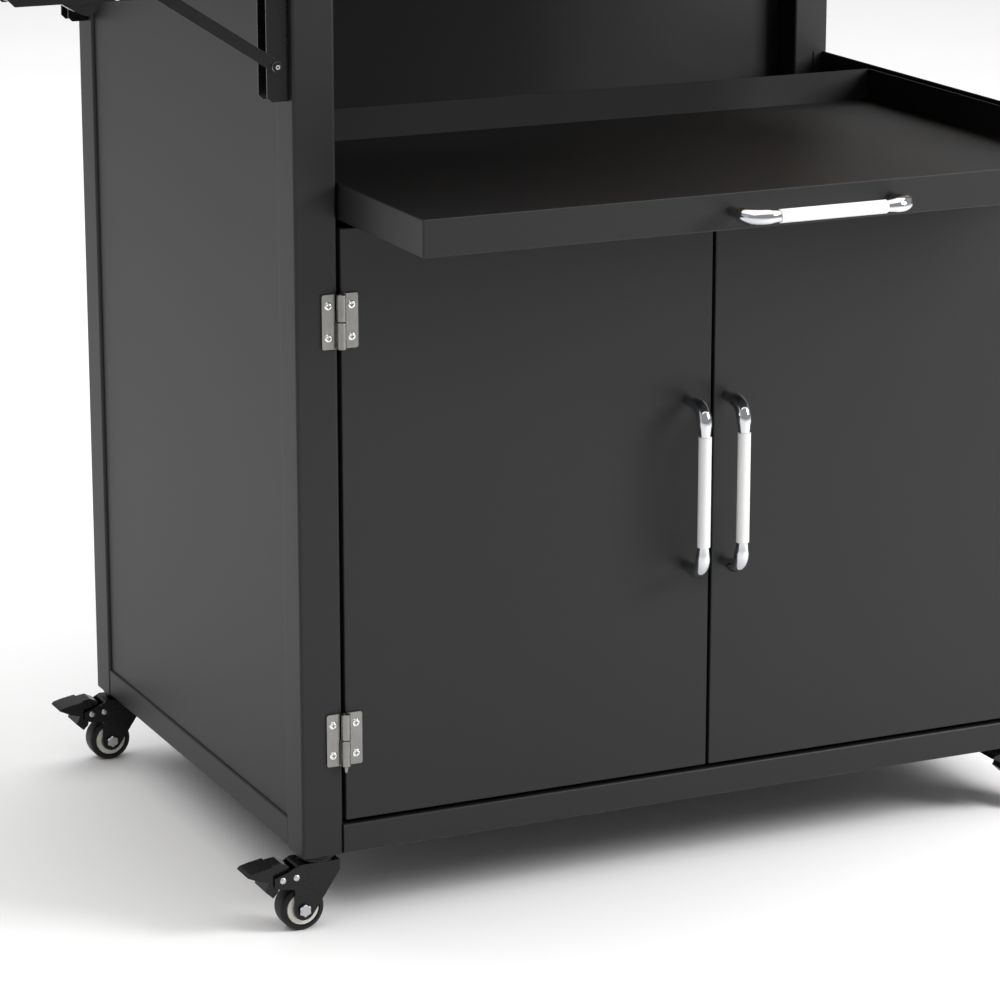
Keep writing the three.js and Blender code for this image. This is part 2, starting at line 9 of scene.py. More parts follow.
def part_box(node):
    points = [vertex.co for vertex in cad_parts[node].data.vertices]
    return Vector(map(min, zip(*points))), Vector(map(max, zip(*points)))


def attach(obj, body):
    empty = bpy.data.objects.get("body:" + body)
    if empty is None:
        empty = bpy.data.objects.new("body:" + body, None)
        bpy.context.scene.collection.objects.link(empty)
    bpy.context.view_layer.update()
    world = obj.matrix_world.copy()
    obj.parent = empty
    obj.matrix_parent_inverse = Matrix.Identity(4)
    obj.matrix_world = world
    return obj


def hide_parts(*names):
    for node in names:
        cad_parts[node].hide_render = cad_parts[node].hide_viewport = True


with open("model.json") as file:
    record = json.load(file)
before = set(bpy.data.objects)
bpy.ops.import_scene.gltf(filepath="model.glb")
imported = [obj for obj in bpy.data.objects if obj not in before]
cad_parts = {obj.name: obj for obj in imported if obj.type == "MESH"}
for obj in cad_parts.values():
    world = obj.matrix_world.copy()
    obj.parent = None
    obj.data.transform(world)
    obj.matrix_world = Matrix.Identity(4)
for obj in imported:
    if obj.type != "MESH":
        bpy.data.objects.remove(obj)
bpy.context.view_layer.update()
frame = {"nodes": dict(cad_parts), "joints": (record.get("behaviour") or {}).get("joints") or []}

# ---- camera ---------------------------------------------------------------------------------
# It stands in front of the cart and to its left, a little over the worktop, and looks down at the
# doors. Its place is measured from the foot of the left front post.
CAMERA_FROM_POST = (-1.249, -3.128, 1.332)
CAMERA_DOWN = 15.26
CAMERA_TURN = -24.83
LENS_MM = 140.7
SENSOR_MM = 36
post_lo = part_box("post_front_left")[0]
corner = Vector((post_lo.x, post_lo.y, 0))
camera = bpy.data.cameras.new("camera")
camera.lens = LENS_MM
camera.sensor_width = SENSOR_MM
camera_object = bpy.data.objects.new("camera", camera)
camera_object.location = corner + Vector(CAMERA_FROM_POST)
camera_object.rotation_euler = (math.radians(90 - CAMERA_DOWN), 0, math.radians(CAMERA_TURN))
bpy.context.collection.objects.link(camera_object)
bpy.context.scene.camera = camera_object

# ---- posts ----------------------------------------------------------------------------------
# Four square steel tubes with round corners, welded into one frame. All the sheet and tube is
# powder-coated: a satin charcoal skin with a fine grain, slightly uneven in tone.
POST_CORNER = 0.003
COAT_DARK = (0.0088, 0.0090, 0.0094, 1)
COAT_LIGHT = (0.0118, 0.0120, 0.0125, 1)
COAT_IOR = 1.38
SHARP_DEGREES = 30
SMOOTH_DEGREES = 40


def socket(group, name, direction, kind="NodeSocketFloat"):
    return group.interface.new_socket(name=name, in_out=direction, socket_type=kind)


def make_grain_group():
    """A cast or sprayed skin: a fine raised grain, and a slow drift from 0 to 1 over the surface."""
    group = bpy.data.node_groups.new("sprayed_grain", "ShaderNodeTree")
    socket(group, "Vector", "INPUT", "NodeSocketVector")
    socket(group, "Grain", "INPUT")
    socket(group, "Height", "INPUT")
    socket(group, "Normal", "OUTPUT", "NodeSocketVector")
    socket(group, "Drift", "OUTPUT")
    socket(group, "Speckle", "OUTPUT")
    nodes, links = group.nodes, group.links
    inside = nodes.new("NodeGroupInput")
    outside = nodes.new("NodeGroupOutput")
    fine = nodes.new("ShaderNodeTexNoise")
    fine.inputs["Detail"].default_value = 2
    bump = nodes.new("ShaderNodeBump")
    bump.inputs["Distance"].default_value = 0.0002
    slow = nodes.new("ShaderNodeTexNoise")
    slow.inputs["Scale"].default_value = 4
    slow.inputs["Detail"].default_value = 4
    links.new(inside.outputs["Vector"], fine.inputs["Vector"])
    links.new(inside.outputs["Vector"], slow.inputs["Vector"])
    links.new(inside.outputs["Grain"], fine.inputs["Scale"])
    links.new(inside.outputs["Height"], bump.inputs["Strength"])
    links.new(fine.outputs["Fac"], bump.inputs["Height"])
    links.new(bump.outputs["Normal"], outside.inputs["Normal"])
    links.new(slow.outputs["Fac"], outside.inputs["Drift"])
    links.new(fine.outputs["Fac"], outside.inputs["Speckle"])
    return group


def new_finish(name):
    """A material with its Principled shader, and the object coordinates that its patterns read."""
    finish = bpy.data.materials.new(name)
    finish.use_nodes = True
    nodes = finish.node_tree.nodes
    shader = nodes["Principled BSDF"]
    place = nodes.new("ShaderNodeTexCoord").outputs["Object"]
    return finish, nodes, finish.node_tree.links, shader, place


def colour_mix(nodes, low, high):
    """A Mix node between two colours, with its first colour socket and its result."""
    mix = nodes.new("ShaderNodeMix")
    mix.data_type = "RGBA"
    first, second = [s for s in mix.inputs if s.type == "RGBA"]
    first.default_value, second.default_value = low, high
    result = next(s for s in mix.outputs if s.type == "RGBA")
    return mix, first, result


def between(nodes, links, value, low, high, target):
    """Feeds a number or a colour between low and high into a shader's socket."""
    if isinstance(low, tuple):
        mix, first, result = colour_mix(nodes, low, high)
        links.new(value, mix.inputs["Factor"])
        links.new(result, target)
        return
    spread = nodes.new("ShaderNodeMapRange")
    spread.inputs["From Min"].default_value = 0.3
    spread.inputs["From Max"].default_value = 0.7
    spread.inputs["To Min"].default_value = low
    spread.inputs["To Max"].default_value = high
    links.new(value, spread.inputs["Value"])
    links.new(spread.outputs["Result"], target)


sprayed_grain = make_grain_group()


def sprayed_finish(name, dark, light, grain, height, rough, ior=1.5):
    """Powder coat, paint or plastic with the shared grain at its own scale."""
    finish, nodes, links, shader, place = new_finish(name)
    skin = nodes.new("ShaderNodeGroup")
    skin.node_tree = sprayed_grain
    skin.inputs["Grain"].default_value = grain
    skin.inputs["Height"].default_value = height
    links.new(place, skin.inputs["Vector"])
    between(nodes, links, skin.outputs["Drift"], dark, light, shader.inputs["Base Color"])
    between(nodes, links, skin.outputs["Speckle"], *rough, shader.inputs["Roughness"])
    links.new(skin.outputs["Normal"], shader.inputs["Normal"])
    shader.inputs["IOR"].default_value = ior
    return finish


powder_coat = sprayed_finish("powder_coat", COAT_DARK, COAT_LIGHT, 1400, 0.5, (0.42, 0.52), COAT_IOR)


def block(lo, hi):
    """A bmesh box between two corners."""
    bm = bmesh.new()
    bmesh.ops.create_cube(bm, size=1)
    size = hi - lo
    bmesh.ops.scale(bm, vec=size, verts=bm.verts)
    bmesh.ops.translate(bm, vec=(lo + hi) / 2, verts=bm.verts)
    return bm


def round_edges(bm, edges, width, segments=3):
    """Rounds edges over by a width."""
    bmesh.ops.bevel(
        bm, geom=list(edges), offset=width, segments=segments, profile=0.5,
        affect="EDGES", material=-1, clamp_overlap=True,
    )


def edges_along(bm, axis):
    """The straight edges that run along X, Y or Z, given as 0, 1 or 2."""
    found = []
    for edge in bm.edges:
        line = edge.verts[1].co - edge.verts[0].co
        if abs(line[axis]) > 0.999 * line.length:
            found.append(edge)
    return found


def sharp_edges(bm, degrees=SHARP_DEGREES):
    """The edges where two faces meet at more than an angle."""
    limit = math.radians(degrees)
    return [e for e in bm.edges if len(e.link_faces) == 2 and e.calc_face_angle(0) > limit]


def add_piece(name, bm, finish, body, slot, *nodes):
    """Turns a bmesh into a piece that rides on a body and stands for CAD nodes."""
    bmesh.ops.recalc_face_normals(bm, faces=bm.faces)
    mesh = bpy.data.meshes.new(name)
    bm.to_mesh(mesh)
    bm.free()
    mesh.materials.append(finish)
    mesh.shade_smooth()
    mesh.set_sharp_from_angle(angle=math.radians(SMOOTH_DEGREES))
    made = bpy.data.objects.new(name, mesh)
    bpy.context.collection.objects.link(made)
    even = made.modifiers.new("even_shading", "WEIGHTED_NORMAL")
    even.keep_sharp = True
    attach(made, body)
    if nodes:
        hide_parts(*nodes)
    return made


def paint(finish, *nodes):
    """Gives CAD nodes whose shape is right a better material."""
    for node in nodes:
        data = frame["nodes"][node].data
        data.materials.clear()
        data.materials.append(finish)


for place_name in ("front_left", "front_right", "rear_left", "rear_right"):
    lo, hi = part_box("post_" + place_name)
    tube = block(lo, hi)
    round_edges(tube, edges_along(tube, 2), POST_CORNER, 4)
    add_piece("tube_" + place_name, tube, powder_coat, "cart_frame", "steel_black",
              "post_" + place_name)

# ---- base rails -----------------------------------------------------------------------------
# Four rectangular tubes welded between the posts at the bottom. The front one stands 1 mm proud of
# the doors, so its top edge catches the light.
RAIL_CORNER = 0.0022
for side, axis in (("front", 0), ("back", 0), ("left", 1), ("right", 1)):
    lo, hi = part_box("base_rail_" + side)
    rail = block(lo, hi)
    round_edges(rail, edges_along(rail, axis), RAIL_CORNER, 4)
    add_piece("rail_" + side, rail, powder_coat, "cart_frame", "steel_black",
              "base_rail_" + side)

# ---- panels, floor and deck -----------------------------------------------------------------
# Folded sheet, 1.2 mm thick, set back between the posts. The two side panels and the back have a
# flange down each upright edge; the cabinet floor and the deck have folded lips.
FOLD = 0.0008


def cad_copy(node):
    """A clean bmesh copy of a CAD node: its triangles merged, and its flat faces made whole."""
    bm = bmesh.new()
    bm.from_mesh(frame["nodes"][node].data)
    bmesh.ops.remove_doubles(bm, verts=bm.verts, dist=1e-5)
    bmesh.ops.dissolve_limit(bm, angle_limit=math.radians(1), verts=bm.verts, edges=bm.edges)
    return bm


for node in ("side_panel_left", "side_panel_right", "back_panel"):
    sheet = cad_copy(node)
    round_edges(sheet, sharp_edges(sheet), FOLD / 2, 2)
    add_piece(node + "_sheet", sheet, powder_coat, "cart_frame", "steel_black", node)
paint(powder_coat, "cabinet_floor", "tray_deck")

# ---- doors ----------------------------------------------------------------------------------
# Two pans of folded sheet, 16 mm deep, open at the back, with small radii where they are folded.
DOOR_FOLD = 0.0012
DOOR_SHEET = 0.0012


def pan(lo, hi, opening, wall):
    """A box of sheet that is open on the side where its opening direction points."""
    bm = block(lo, hi)
    bm.faces.ensure_lookup_table()
    mouth = max(bm.faces, key=lambda f: f.normal.dot(opening))
    depth = abs((hi - lo).dot(opening)) - wall
    bmesh.ops.inset_region(bm, faces=[mouth], thickness=wall, use_even_offset=True)
    bmesh.ops.inset_region(bm, faces=[mouth], thickness=0, depth=-depth, use_even_offset=True)
    return bm


for side in ("left", "right"):
    lo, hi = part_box("door_" + side)
    shell = pan(lo, hi, Vector((0, 1, 0)), DOOR_SHEET)
    front = [e for e in sharp_edges(shell, 60) if min(v.co.y for v in e.verts) < lo.y + 1e-5]
    round_edges(shell, front, DOOR_FOLD, 3)
    add_piece("door_pan_" + side, shell, powder_coat, "door_" + side, "steel_black",
              "door_" + side)

# ---- lift-off hinges ------------------------------------------------------------------------
# Nickel-plated steel: a plate screwed to the post with the lower knuckle and the pin, and a plate
# screwed to the door with the upper knuckle. Each plate has two countersunk cross-head screws.
PLATE_CORNER = 0.0022
PLATE_EDGE = 0.0003
PLATE_THICK = 0.0015
KNUCKLE_GAP = 0.0003
KNUCKLE_RIM = 0.0005
BORE_R = 0.0023
PIN_R = 0.002
PIN_TIP_R = 0.0012
SCREW_R = 0.0038
SCREW_INSET = 0.0105
NICKEL = (0.27, 0.263, 0.25, 1)
NICKEL_DULL = (0.20, 0.196, 0.185, 1)
SCREW_DULL = (0.72, 0.72, 0.72, 1)
SCREW_BRIGHT = (0.82, 0.82, 0.82, 1)


def make_drawn_group():
    """Metal that was drawn or rolled: fine streaks along one axis, and a soft clouding."""
    group = bpy.data.node_groups.new("drawn_metal", "ShaderNodeTree")
    socket(group, "Vector", "INPUT", "NodeSocketVector")
    socket(group, "Across", "INPUT")
    socket(group, "Height", "INPUT")
    socket(group, "Normal", "OUTPUT", "NodeSocketVector")
    socket(group, "Streak", "OUTPUT")
    socket(group, "Cloud", "OUTPUT")
    nodes, links = group.nodes, group.links
    inside = nodes.new("NodeGroupInput")
    outside = nodes.new("NodeGroupOutput")
    stretch = nodes.new("ShaderNodeMapping")
    stretch.inputs["Scale"].default_value = (1, 1, 0.03)
    fine = nodes.new("ShaderNodeTexNoise")
    fine.inputs["Detail"].default_value = 3
    bump = nodes.new("ShaderNodeBump")
    bump.inputs["Distance"].default_value = 0.0001
    cloud = nodes.new("ShaderNodeTexNoise")
    cloud.inputs["Scale"].default_value = 90
    links.new(inside.outputs["Vector"], stretch.inputs["Vector"])
    links.new(inside.outputs["Vector"], cloud.inputs["Vector"])
    links.new(stretch.outputs["Vector"], fine.inputs["Vector"])
    links.new(inside.outputs["Across"], fine.inputs["Scale"])
    links.new(inside.outputs["Height"], bump.inputs["Strength"])
    links.new(fine.outputs["Fac"], bump.inputs["Height"])
    links.new(bump.outputs["Normal"], outside.inputs["Normal"])
    links.new(fine.outputs["Fac"], outside.inputs["Streak"])
    links.new(cloud.outputs["Fac"], outside.inputs["Cloud"])
    return group


drawn_metal = make_drawn_group()


def plated_finish(name, dull, bright, across, height, rough):
    """Bare or plated metal with the shared streaks and clouding at its own scale."""
    finish, nodes, links, shader, place = new_finish(name)
    skin = nodes.new("ShaderNodeGroup")
    skin.node_tree = drawn_metal
    skin.inputs["Across"].default_value = across
    skin.inputs["Height"].default_value = height
    links.new(place, skin.inputs["Vector"])
    between(nodes, links, skin.outputs["Cloud"], dull, bright, shader.inputs["Base Color"])
    between(nodes, links, skin.outputs["Streak"], *rough, shader.inputs["Roughness"])
    links.new(skin.outputs["Normal"], shader.inputs["Normal"])
    shader.inputs["Metallic"].default_value = 1
    return finish


nickel = plated_finish("nickel_plate", NICKEL_DULL, NICKEL, 1800, 0.25, (0.22, 0.36))
bright_screw = plated_finish("bright_screw", SCREW_DULL, SCREW_BRIGHT, 900, 0.05, (0.12, 0.2))


def lathe(bm, profile, centre, axis, steps=32):
    """Spins a closed profile of (radius, height) pairs round an axis through a point."""
    axis = Vector(axis)
    out = axis.orthogonal().normalized()
    verts = [bm.verts.new(centre + out * r + axis * h) for r, h in profile]
    edges = [bm.edges.new(pair) for pair in zip(verts, verts[1:])]
    if profile[0][0] > 0 and profile[-1][0] > 0:
        edges.append(bm.edges.new((verts[-1], verts[0])))
    bmesh.ops.spin(bm, geom=verts + edges, cent=centre, axis=axis, angle=2 * math.pi,
                   steps=steps, use_merge=True)
    bmesh.ops.remove_doubles(bm, verts=bm.verts, dist=1e-6)


def join(bm, other):
    """Adds one bmesh to another as a separate closed shell."""
    mesh = bpy.data.meshes.new("part")
    other.to_mesh(mesh)
    other.free()
    bm.from_mesh(mesh)
    bpy.data.meshes.remove(mesh)


def cut(bm, *tools):
    """Cuts closed bmesh tools out of a closed bmesh, and returns what is left as a new bmesh."""
    work = bpy.data.meshes.new("work")
    bmesh.ops.recalc_face_normals(bm, faces=bm.faces)
    bm.to_mesh(work)
    bm.free()
    blank = bpy.data.objects.new("blank", work)
    bpy.context.collection.objects.link(blank)
    spare = [blank]
    for tool in tools:
        mesh = bpy.data.meshes.new("tool")
        bmesh.ops.recalc_face_normals(tool, faces=tool.faces)
        tool.to_mesh(mesh)
        tool.free()
        cutter = bpy.data.objects.new("tool", mesh)
        bpy.context.collection.objects.link(cutter)
        spare.append(cutter)
        away = blank.modifiers.new("cut", "BOOLEAN")
        away.operation = "DIFFERENCE"
        away.solver = "EXACT"
        away.object = cutter
    graph = bpy.context.evaluated_depsgraph_get()
    mesh = bpy.data.meshes.new_from_object(blank.evaluated_get(graph))
    left = bmesh.new()
    left.from_mesh(mesh)
    bpy.data.meshes.remove(mesh)
    for one in spare:
        mesh = one.data
        bpy.data.objects.remove(one)
        bpy.data.meshes.remove(mesh)
    return left


def cross_screw(radius):
    """A countersunk screw head that looks along +Z, with a cross sunk into its raised middle."""
    head = bmesh.new()
    rise = radius * 0.2
    lathe(head, [(0, -radius * 0.3), (radius * 0.6, -radius * 0.3), (radius, -rise * 0.2),
                 (radius * 0.92, rise * 0.5), (radius * 0.7, rise), (radius * 0.4, rise * 0.7),
                 (0, rise * 0.2)], Vector(), (0, 0, 1), 24)
    arm = Vector((radius * 0.55, radius * 0.16, radius * 0.4))
    shift = Vector((0, 0, rise))
    one = block(shift - arm, shift + arm)
    arm.x, arm.y = arm.y, arm.x
    return cut(head, one, block(shift - arm, shift + arm))


def stamp(bm, pattern, centre, turn):
    """Adds a copy of a mesh to a bmesh at a place, turned by a matrix."""
    copy = bmesh.new()
    copy.from_mesh(pattern)
    bmesh.ops.transform(copy, matrix=Matrix.Translation(centre) @ turn, verts=copy.verts)
    join(bm, copy)


screw_head = cross_screw(SCREW_R)
screw = bpy.data.meshes.new("screw")
screw_head.to_mesh(screw)
screw_head.free()
face_front = Matrix.Rotation(math.radians(90), 4, "X")
for side, out in (("left", -1), ("right", 1)):
    for level in ("lower", "upper"):
        name = f"hinge_{side}_{level}"
        lo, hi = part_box(name + "_door_leaf")
        knuckle_r = (hi.y - lo.y) / 2
        pin_x = (hi.x if out > 0 else lo.x) - out * knuckle_r
        pin = Vector((pin_x, lo.y + knuckle_r, 0))
        half_z = (lo.z + hi.z) / 2
        plate_y = hi.y - PLATE_THICK
        for half, towards, span in (("post", out, (lo.z, half_z - KNUCKLE_GAP)),
                                    ("door", -out, (half_z + KNUCKLE_GAP, hi.z))):
            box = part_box(f"{name}_{half}_leaf")
            edge = box[1].x if towards > 0 else box[0].x
            near = pin_x + towards * (knuckle_r + KNUCKLE_GAP)
            xs = sorted((near, edge))
            plate = block(Vector((xs[0], plate_y, lo.z)), Vector((xs[1], hi.y, hi.z)))
            corners = [e for e in edges_along(plate, 1)
                       if abs(e.verts[0].co.x - edge) < 1e-5]
            round_edges(plate, corners, PLATE_CORNER, 5)
            round_edges(plate, sharp_edges(plate, 50), PLATE_EDGE, 2)
            web = sorted((pin_x, near + towards * 0.001))
            join(plate, block(Vector((web[0], plate_y, span[0])), Vector((web[1], hi.y, span[1]))))
            low, high = span
            bore = 0 if half == "post" else BORE_R
            shoulder = knuckle_r - KNUCKLE_RIM
            barrel = [(bore, low), (shoulder, low), (knuckle_r, low + KNUCKLE_RIM),
                      (knuckle_r, high - KNUCKLE_RIM), (shoulder, high), (bore, high)]
            roll = bmesh.new()
            lathe(roll, barrel, pin, (0, 0, 1), 28)
            join(plate, roll)
            if half == "post":
                tip = min(box[0].z, lo.z - 0.0004)
                shaft = [(0, tip), (PIN_TIP_R, tip), (PIN_R, tip + (lo.z - tip) * 0.5),
                         (PIN_R, hi.z - 0.0004), (0, hi.z)]
                spindle = bmesh.new()
                lathe(spindle, shaft, pin, (0, 0, 1), 20)
                join(plate, spindle)
            screws = bmesh.new()
            for z in (lo.z + SCREW_INSET, hi.z - SCREW_INSET):
                stamp(screws, screw, Vector(((near + edge) / 2, plate_y, z)), face_front)
            body = "cart_frame" if half == "post" else "door_" + side
            add_piece(f"{name}_{half}_plate", plate, nickel, body, "nickel",
                      f"{name}_{half}_leaf")
            add_piece(f"{name}_{half}_screws", screws, bright_screw, body, "nickel")

# ---- bow handles ----------------------------------------------------------------------------
# A chromed steel bar with a round section, thicker at its two knees, and a white satin sleeve on
# its middle. Two stand upright on the doors, and one lies on the tray's front.
HANDLE_SPAN = 0.160
BAR_R = 0.0049
FOOT_R = 0.0052
KNEE_R = 0.0070
KNEE_SINK = 0.0010
BAR_BEND = 0.016
NECK_STEPS = (0.004, 0.006, 0.007)
SLEEVE_ROUND = 0.0004
SLEEVE_GAP = 0.0001
CHROME = (0.60, 0.61, 0.63, 1)
CHROME_CLOUD = (0.54, 0.55, 0.57, 1)
SLEEVE_WHITE = (0.80, 0.80, 0.79, 1)
SLEEVE_GREY = (0.72, 0.72, 0.71, 1)
chrome = plated_finish("chrome_plate", CHROME_CLOUD, CHROME, 300, 0.02, (0.05, 0.09))
satin_sleeve = sprayed_finish("satin_sleeve", SLEEVE_GREY, SLEEVE_WHITE, 900, 0.12, (0.34, 0.42))


def mirrored(side):
    """A whole lathe profile from its lower half, which runs from the end to the middle."""
    return side + [(radius, -height) for radius, height in reversed(side)]


def bow(bm, middle, along, foot_y, reach):
    """A round bar bent into a bow: foot, bend, grip, bend, foot. Its span lies along X or Z."""
    half = HANDLE_SPAN / 2
    start = middle - along * half
    start.y = foot_y
    made = bmesh.ops.create_circle(bm, cap_ends=True, segments=24, radius=FOOT_R)
    turn = Matrix.Rotation(math.radians(90), 4, "X")
    bmesh.ops.transform(bm, matrix=Matrix.Translation(start) @ turn, verts=made["verts"])
    cap = bm.faces[:]
    straight = reach - BAR_BEND - KNEE_SINK

    def open_up(faces):
        """Takes away a face that has been drawn on, but not the foot's own end."""
        if faces is not cap:
            bmesh.ops.delete(bm, geom=faces, context="FACES_ONLY")

    def draw(faces, shift, scale=1.0):
        """Draws the bar's open end on along a shift, and scales it there."""
        done = bmesh.ops.extrude_face_region(bm, geom=faces)
        face = [f for f in done["geom"] if isinstance(f, bmesh.types.BMFace)]
        open_up(faces)
        verts = list(face[0].verts)
        bmesh.ops.translate(bm, vec=shift, verts=verts)
        if scale != 1.0:
            centre = sum((v.co for v in verts), Vector()) / len(verts)
            away = Matrix.Translation(centre) @ Matrix.Scale(scale, 4) @ Matrix.Translation(-centre)
            bmesh.ops.transform(bm, matrix=away, verts=verts)
        return face

    def bend(faces, centre, axis):
        """Turns the bar's open end through a quarter circle."""
        done = bmesh.ops.spin(bm, geom=faces, cent=centre, axis=axis, angle=math.radians(90),
                              steps=9, use_merge=False)
        open_up(faces)
        return [g for g in done["geom_last"] if isinstance(g, bmesh.types.BMFace)]

    out = Vector((0, -1, 0))
    axis = out.cross(along)
    swell = (KNEE_R / FOOT_R) ** 0.5
    waist = (BAR_R / KNEE_R) ** (1 / len(NECK_STEPS))
    sink = out * KNEE_SINK / len(NECK_STEPS)
    grip = HANDLE_SPAN - 2 * BAR_BEND - 2 * sum(NECK_STEPS)
    faces = draw(cap, out * straight * 0.3)
    faces = draw(faces, out * straight * 0.4, swell)
    faces = draw(faces, out * straight * 0.3, swell)
    faces = bend(faces, start + out * straight + along * BAR_BEND, axis)
    for step in NECK_STEPS:
        faces = draw(faces, along * step + sink, waist)
    faces = draw(faces, along * grip)
    for step in reversed(NECK_STEPS):
        faces = draw(faces, along * step - sink, 1 / waist)
    faces = bend(faces, start + along * (HANDLE_SPAN - BAR_BEND) + out * straight, axis)
    faces = draw(faces, -out * straight * 0.3, 1 / swell)
    faces = draw(faces, -out * straight * 0.4, 1 / swell)
    draw(faces, -out * straight * 0.3)


for name, body, along in (("handle_left", "door_left", Vector((0, 0, 1))),
                          ("handle_right", "door_right", Vector((0, 0, 1))),
                          ("tray_handle", "tray", Vector((1, 0, 0)))):
    lo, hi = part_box(name + "_bar")
    middle = (lo + hi) / 2
    grip_y = lo.y + BAR_R
    bar = bmesh.new()
    bow(bar, middle, along, hi.y, hi.y - grip_y)
    add_piece(name + "_bow", bar, chrome, body, "chrome", name + "_bar")
    low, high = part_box(name + "_sleeve")
    outer = (high.y - low.y) / 2
    reach = (high - low).dot(along) / 2
    centre = (low + high) / 2
    shell = mirrored([(BAR_R + SLEEVE_GAP, -reach), (outer - SLEEVE_ROUND, -reach),
                      (outer, SLEEVE_ROUND - reach)])
    cover = bmesh.new()
    lathe(cover, shell, centre, along, 40)
    add_piece(name + "_grip", cover, satin_sleeve, body, "sleeve", name + "_sleeve")

# ---- pull-out tray --------------------------------------------------------------------------
# A shallow pan of folded sheet that stands drawn out on two slides. Its rim is a raw folded edge,
# rounded over by the coating.
TRAY_SHEET = 0.0015
TRAY_FOLD = 0.0016
TRAY_RIM = 0.0013
ZINC = (0.58, 0.59, 0.60, 1)
ZINC_DULL = (0.42, 0.43, 0.44, 1)
lo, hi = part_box("tray")
tray = pan(lo, hi, Vector((0, 0, 1)), TRAY_SHEET)
folds = [e for e in sharp_edges(tray, 60) if min(v.co.z for v in e.verts) < lo.z + 1e-5]
round_edges(tray, folds, TRAY_FOLD, 3)
rim = [e for e in sharp_edges(tray, 60) if min(v.co.z for v in e.verts) > hi.z - 1e-5]
outer_rim = [e for e in rim if all(min(v.co.x - lo.x, hi.x - v.co.x, v.co.y - lo.y, hi.y - v.co.y)
                                   < TRAY_SHEET / 2 for v in e.verts)]
round_edges(tray, outer_rim, TRAY_RIM, 4)
add_piece("tray_pan", tray, powder_coat, "tray", "steel_black", "tray")
zinc = plated_finish("zinc_plate", ZINC_DULL, ZINC, 500, 0.1, (0.30, 0.44))
paint(zinc, "slide_rail_left", "slide_rail_right", "slide_runner_left", "slide_runner_right")

# ---- worktop and folding leaf ---------------------------------------------------------------
# Solid wood, glued up from staves that run the long way, oiled, with its edges rounded over. The
# fixed top is screwed to the cabinet, and the leaf to the two brackets' arms.
STAVE = 0.045
WOOD_EDGE = 0.0025
WOOD_LIGHT = (0.52, 0.33, 0.175, 1)
WOOD_DARK = (0.36, 0.205, 0.095, 1)
GRAIN_DARK = (0.25, 0.13, 0.055, 1)
GRAIN_STRETCH = (0.08, 1, 1)
WOOD_IOR = 1.25


def make_wood(name, across, along):
    """Oiled staves: each stave's own tone, with stretched growth lines and fine pores."""
    finish, nodes, links, shader, place = new_finish(name)
    parts = nodes.new("ShaderNodeSeparateXYZ")
    links.new(place, parts.inputs["Vector"])
    stave = nodes.new("ShaderNodeMath")
    stave.operation = "DIVIDE"
    stave.inputs[1].default_value = STAVE
    links.new(parts.outputs[across], stave.inputs[0])
    number = nodes.new("ShaderNodeMath")
    number.operation = "FLOOR"
    links.new(stave.outputs["Value"], number.inputs[0])
    tone = nodes.new("ShaderNodeTexWhiteNoise")
    tone.noise_dimensions = "1D"
    links.new(number.outputs["Value"], tone.inputs["W"])
    shift = nodes.new("ShaderNodeVectorMath")
    shift.operation = "SCALE"
    shift.inputs["Scale"].default_value = 3
    links.new(tone.outputs["Color"], shift.inputs["Vector"])
    moved = nodes.new("ShaderNodeVectorMath")
    moved.operation = "ADD"
    links.new(place, moved.inputs[0])
    links.new(shift.outputs["Vector"], moved.inputs[1])
    stretch = nodes.new("ShaderNodeMapping")
    stretch.inputs["Scale"].default_value = along
    links.new(moved.outputs["Vector"], stretch.inputs["Vector"])
    rings = nodes.new("ShaderNodeTexNoise")
    rings.inputs["Scale"].default_value = 28
    rings.inputs["Detail"].default_value = 5
    rings.inputs["Distortion"].default_value = 0.6
    links.new(stretch.outputs["Vector"], rings.inputs["Vector"])
    pores = nodes.new("ShaderNodeTexNoise")
    pores.inputs["Scale"].default_value = 320
    pores.inputs["Detail"].default_value = 2
    links.new(stretch.outputs["Vector"], pores.inputs["Vector"])
    stave_tone, _, stave_colour = colour_mix(nodes, WOOD_DARK, WOOD_LIGHT)
    links.new(tone.outputs["Value"], stave_tone.inputs["Factor"])
    lines = nodes.new("ShaderNodeMapRange")
    lines.inputs["From Min"].default_value = 0.48
    lines.inputs["From Max"].default_value = 0.72
    lines.inputs["To Max"].default_value = 0.75
    links.new(rings.outputs["Fac"], lines.inputs["Value"])
    grained, ground, grained_colour = colour_mix(nodes, WOOD_LIGHT, GRAIN_DARK)
    links.new(lines.outputs["Result"], grained.inputs["Factor"])
    links.new(stave_colour, ground)
    links.new(grained_colour, shader.inputs["Base Color"])
    between(nodes, links, pores.outputs["Fac"], 0.52, 0.68, shader.inputs["Roughness"])
    shader.inputs["IOR"].default_value = WOOD_IOR
    raised = nodes.new("ShaderNodeBump")
    raised.inputs["Distance"].default_value = 0.0002
    raised.inputs["Strength"].default_value = 0.35
    links.new(pores.outputs["Fac"], raised.inputs["Height"])
    links.new(raised.outputs["Normal"], shader.inputs["Normal"])
    return finish


oiled_staves = make_wood("oiled_staves", "Y", GRAIN_STRETCH)
for name, body in (("worktop", "cart_frame"), ("leaf", "leaf")):
    board = cad_copy(name)
    round_edges(board, sharp_edges(board), WOOD_EDGE, 4)
    add_piece(name + "_board", board, oiled_staves, body, "wood", name)

